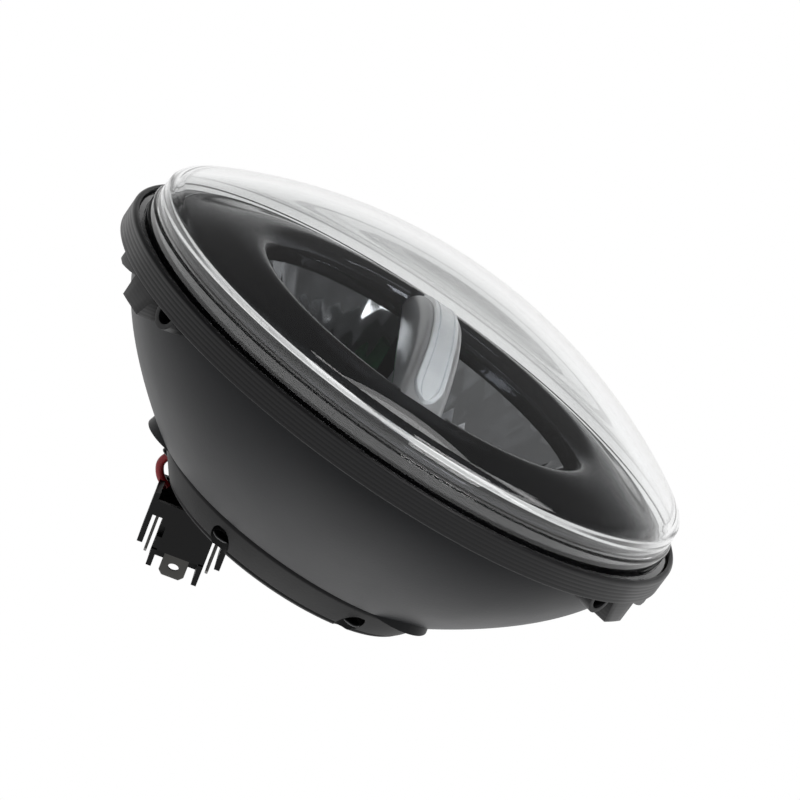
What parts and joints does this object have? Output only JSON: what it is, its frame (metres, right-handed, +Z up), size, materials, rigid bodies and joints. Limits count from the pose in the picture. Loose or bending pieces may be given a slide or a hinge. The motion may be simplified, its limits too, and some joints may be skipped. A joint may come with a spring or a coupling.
{
  "type": "round led headlight",
  "caption": "Round motorbike LED headlight: clear domed lens, dark bezel, half reflectors split by a bar with a white light guide, metal bowl, finned rear and a bladed plug on leads.",
  "frame": {"origin": "on the lamp's axis at the rear face of the mounting ring, where the lamp seats", "axes": "the lamp faces -Y along its axis, +Z is up, X runs along the centre bar"},
  "size_m": [0.178, 0.1222, 0.178],
  "materials": {
    "housing": "satin dark grey powder coat with a fine texture",
    "ring": "matte black",
    "lens": "clear polycarbonate",
    "rubber": "matte",
    "seal": "matte silicone",
    "bezel": "smoked chrome",
    "screw": "zinc plated",
    "reflector": "vapour coated",
    "dark_reflector": "vapour coated",
    "bar": "satin smoked metal coat",
    "guide": "milky white light guide",
    "board": "circuit board",
    "chip": "yellow phosphor",
    "carrier": "bare",
    "driver_parts": "moulded parts",
    "heat_sink": "satin black die cast",
    "black_plastic": "satin moulded",
    "red_lead": "satin",
    "black_lead": "satin",
    "white_lead": "satin",
    "blade": "tin plated"
  },
  "bodies": {
    "root": {"housing": "housing", "mounting_ring": "ring", "lens": "lens", "lens_gasket": "rubber", "bezel": "bezel", "bezel_screws": "screw", "upper_reflector": "reflector", "lower_reflector": "dark_reflector", "reflector_screws": "screw", "centre_bar": "bar", "light_guide": "guide", "guide_board": "board", "guide_chips": "chip", "carrier": "carrier", "carrier_screws": "screw", "upper_led_board": "board", "lower_led_board": "board", "upper_chips": "chip", "lower_chips": "chip", "driver_board": "board", "driver_parts": "driver_parts", "heat_sink": "heat_sink", "seal_ring": "seal", "sink_screws": "screw", "breather": "black_plastic", "grommet": "rubber", "red_lead": "red_lead", "black_lead": "black_lead", "white_lead": "white_lead", "plug_body": "black_plastic", "centre_blade": "blade", "left_blade": "blade", "right_blade": "blade"}
  },
  "joints": []
}
